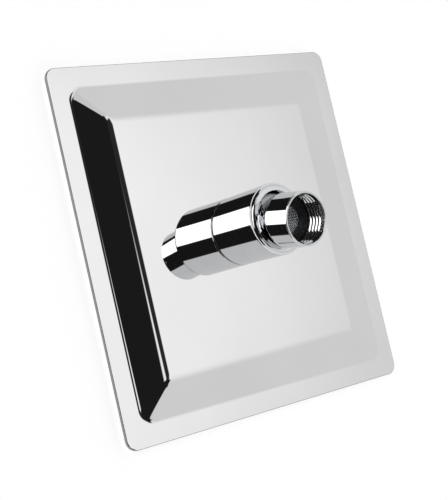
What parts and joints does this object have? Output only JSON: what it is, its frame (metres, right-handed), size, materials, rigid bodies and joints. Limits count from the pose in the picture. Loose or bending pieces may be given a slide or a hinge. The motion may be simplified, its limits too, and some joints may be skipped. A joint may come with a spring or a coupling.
{
  "type": "square rain shower head",
  "caption": "Thin square rain shower head of mirror-polished steel with a raised back panel, silicone nozzles and a chromed swivel ball inlet with a threaded mouth.",
  "frame": {"origin": "centre of the plate, on the plane of the nozzle tips", "axes": "+Z out of the back along the nut's axis, X and Y along the plate's sides; the inlet leans towards -Y at rest"},
  "size_m": [0.156, 0.156, 0.0513],
  "materials": {
    "polished_steel": "mirror polished stainless sheet",
    "chrome_plate": "bright chrome plate on turned brass",
    "nozzle_silicone": "moulded grey silicone",
    "bare_brass": "turned brass",
    "black_rubber": "moulded black rubber",
    "seat_plastic": "white acetal",
    "screen_wire": "woven fine stainless wire",
    "regulator_plastic": "moulded dark plastic"
  },
  "bodies": {
    "head": {"face_plate": "polished_steel", "back_pan": "polished_steel", "nozzle_strip_1": "nozzle_silicone", "nozzle_strip_2": "nozzle_silicone", "nozzle_strip_3": "nozzle_silicone", "nozzle_strip_4": "nozzle_silicone", "nozzle_strip_5": "nozzle_silicone", "nozzle_strip_6": "nozzle_silicone", "nozzle_strip_7": "nozzle_silicone", "nozzle_strip_8": "nozzle_silicone", "inlet_boss": "bare_brass", "seat_o_ring": "black_rubber", "nut_washer": "black_rubber", "swivel_nut": "chrome_plate"},
    "seat": {"ball_seat": "seat_plastic"},
    "regulator": {"regulator_body": "regulator_plastic", "regulator_o_ring": "black_rubber"},
    "inlet": {"swivel_ball": "chrome_plate", "filter_washer": "black_rubber", "filter_screen": "screen_wire"}
  },
  "joints": [
    {"name": "head_turn", "type": "hinge", "parent": "head", "child": "seat", "pos_m": [0, 0, 0.02692], "axis": [0, 0, 1], "continuous": true},
    {"name": "ball_tilt", "type": "hinge", "parent": "seat", "child": "regulator", "pos_m": [0, 0, 0.02692], "axis": [1, 0, 0], "range_deg": [-18.5, 1.5]},
    {"name": "inlet_turn", "type": "hinge", "parent": "regulator", "child": "inlet", "pos_m": [0, 0, 0.02692], "axis": [0, -0.1478, 0.989], "continuous": true}
  ]
}
